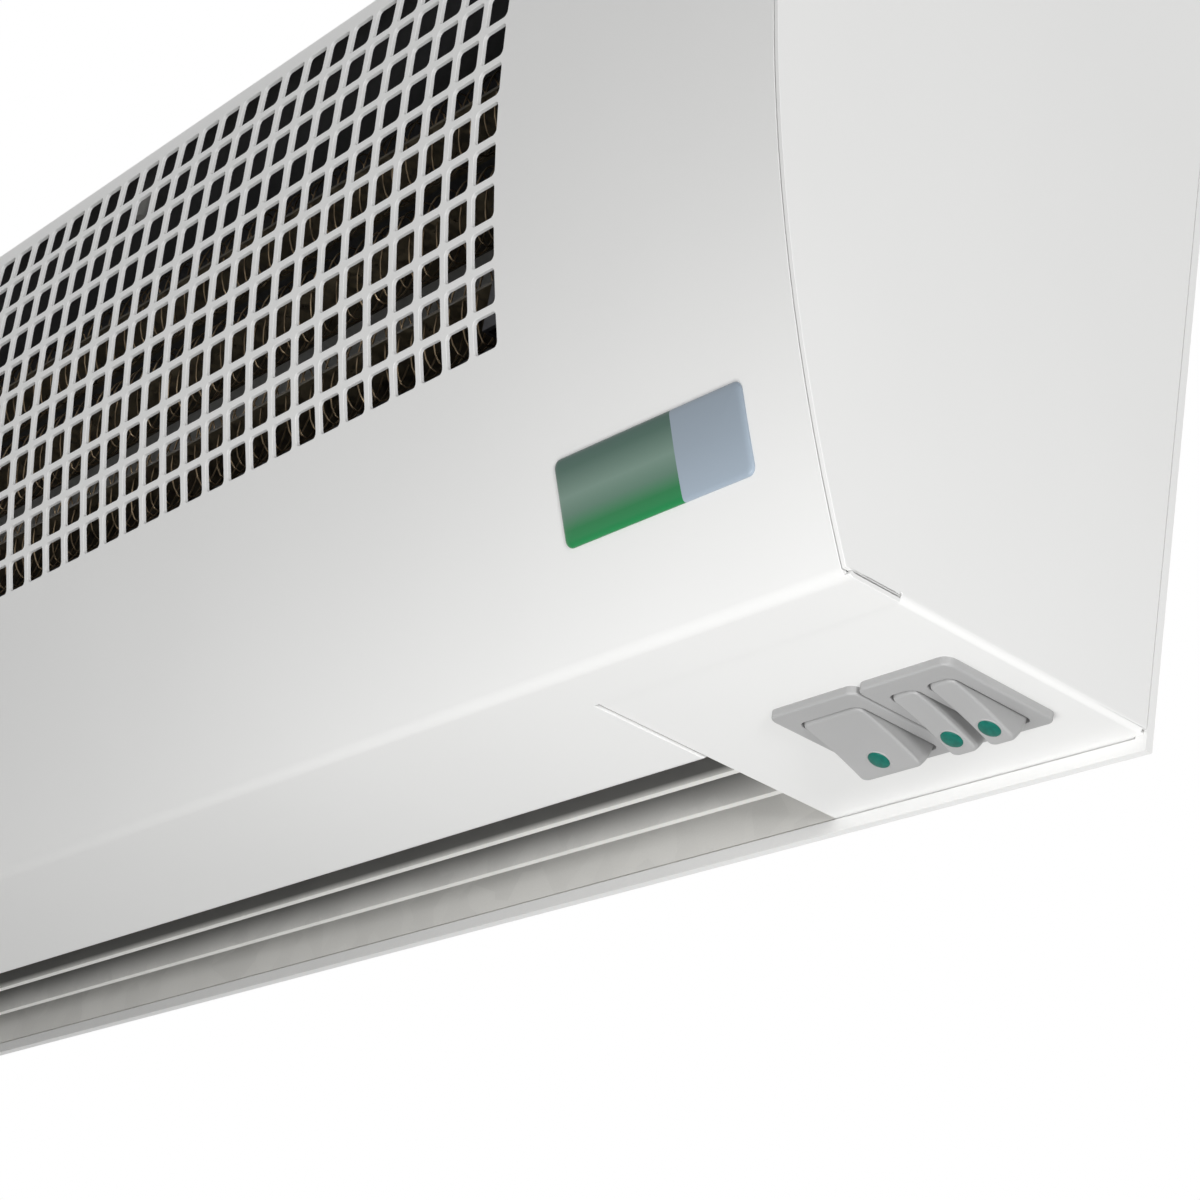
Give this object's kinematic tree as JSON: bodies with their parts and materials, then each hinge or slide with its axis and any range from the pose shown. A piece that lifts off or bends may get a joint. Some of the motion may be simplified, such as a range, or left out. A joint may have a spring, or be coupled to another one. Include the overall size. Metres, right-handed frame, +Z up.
{
  "type": "air curtain",
  "caption": "Wall-hung electric air curtain: bowed perforated front, slot outlet with guide blades underneath, cross-flow fan and rocker switches at the right end.",
  "frame": {"origin": "middle of the wall plate's rear face, where the air curtain hangs on the wall", "axes": "+X along the casing to the right end with the switches, +Y into the wall (the front faces -Y), +Z up"},
  "size_m": [0.81, 0.1298, 0.1893],
  "materials": {
    "white_enamel": "smooth satin powder coat",
    "zinc_steel": "zinc-plated sheet",
    "dark_steel": "dark oxidised steel",
    "fan_aluminium": "dull rolled aluminium",
    "mica": "pressed mica board",
    "heating_ribbon": "heat-tinted nickel-chromium",
    "winding": "enamelled copper",
    "brass": "plain brass",
    "black_rubber": "matt rubber",
    "black_plastic": "moulded phenolic",
    "switch_grey": "fine moulded nylon",
    "signal_lens": "clear tinted plastic",
    "block_plastic": "moulded nylon",
    "badge_green": "domed clear resin over a plain two-colour film"
  },
  "bodies": {
    "casing": {"back_plate": "white_enamel", "front_cover": "white_enamel", "top_panel": "white_enamel", "right_end_panel": "white_enamel", "left_end_panel": "white_enamel", "right_bulkhead": "zinc_steel", "left_bulkhead": "zinc_steel", "rear_scroll": "zinc_steel", "front_tongue": "zinc_steel", "front_guide_blade": "zinc_steel", "rear_guide_blade": "zinc_steel", "right_heater_channel": "dark_steel", "left_heater_channel": "dark_steel", "lower_heater_board": "mica", "middle_heater_board": "mica", "upper_heater_board": "mica", "lower_heating_wire": "heating_ribbon", "middle_heating_wire": "heating_ribbon", "upper_heating_wire": "heating_ribbon", "thermal_cutout": "black_plastic", "motor_core": "dark_steel", "motor_coil": "winding", "front_bearing_bridge": "zinc_steel", "rear_bearing_bridge": "zinc_steel", "motor_bearings": "brass", "motor_spacers": "zinc_steel", "motor_screws": "zinc_steel", "motor_nuts": "zinc_steel", "bearing_bush": "black_rubber", "fan_bearing": "brass", "single_switch_body": "switch_grey", "double_switch_body": "switch_grey", "switch_terminals": "brass", "terminal_block": "block_plastic", "terminal_screws": "brass", "earth_stud": "brass", "cable_grommet": "black_rubber", "cover_screws": "zinc_steel", "badge": "badge_green"},
    "fan": {"fan_wheel": "fan_aluminium", "motor_shaft": "zinc_steel", "stub_shaft": "zinc_steel", "hub_screws": "dark_steel", "motor_rotor": "dark_steel"},
    "wide_rocker": {"wide_rocker": "switch_grey", "wide_lens": "signal_lens"},
    "left_rocker": {"left_rocker": "switch_grey", "left_lens": "signal_lens"},
    "right_rocker": {"right_rocker": "switch_grey", "right_lens": "signal_lens"}
  },
  "joints": [
    {"name": "fan_spin", "type": "hinge", "parent": "casing", "child": "fan", "pos_m": [0, -0.058, -0.0011], "axis": [1, 0, 0], "continuous": true},
    {"name": "wide_rocker_tilt", "type": "hinge", "parent": "casing", "child": "wide_rocker", "pos_m": [0.35675, -0.0328, -0.0877], "axis": [1, 0, 0], "range_deg": [0, 31.2]},
    {"name": "left_rocker_tilt", "type": "hinge", "parent": "casing", "child": "left_rocker", "pos_m": [0.3779, -0.0328, -0.0877], "axis": [1, 0, 0], "range_deg": [0, 31.2]},
    {"name": "right_rocker_tilt", "type": "hinge", "parent": "casing", "child": "right_rocker", "pos_m": [0.3884, -0.0328, -0.0877], "axis": [1, 0, 0], "range_deg": [0, 31.2]}
  ]
}
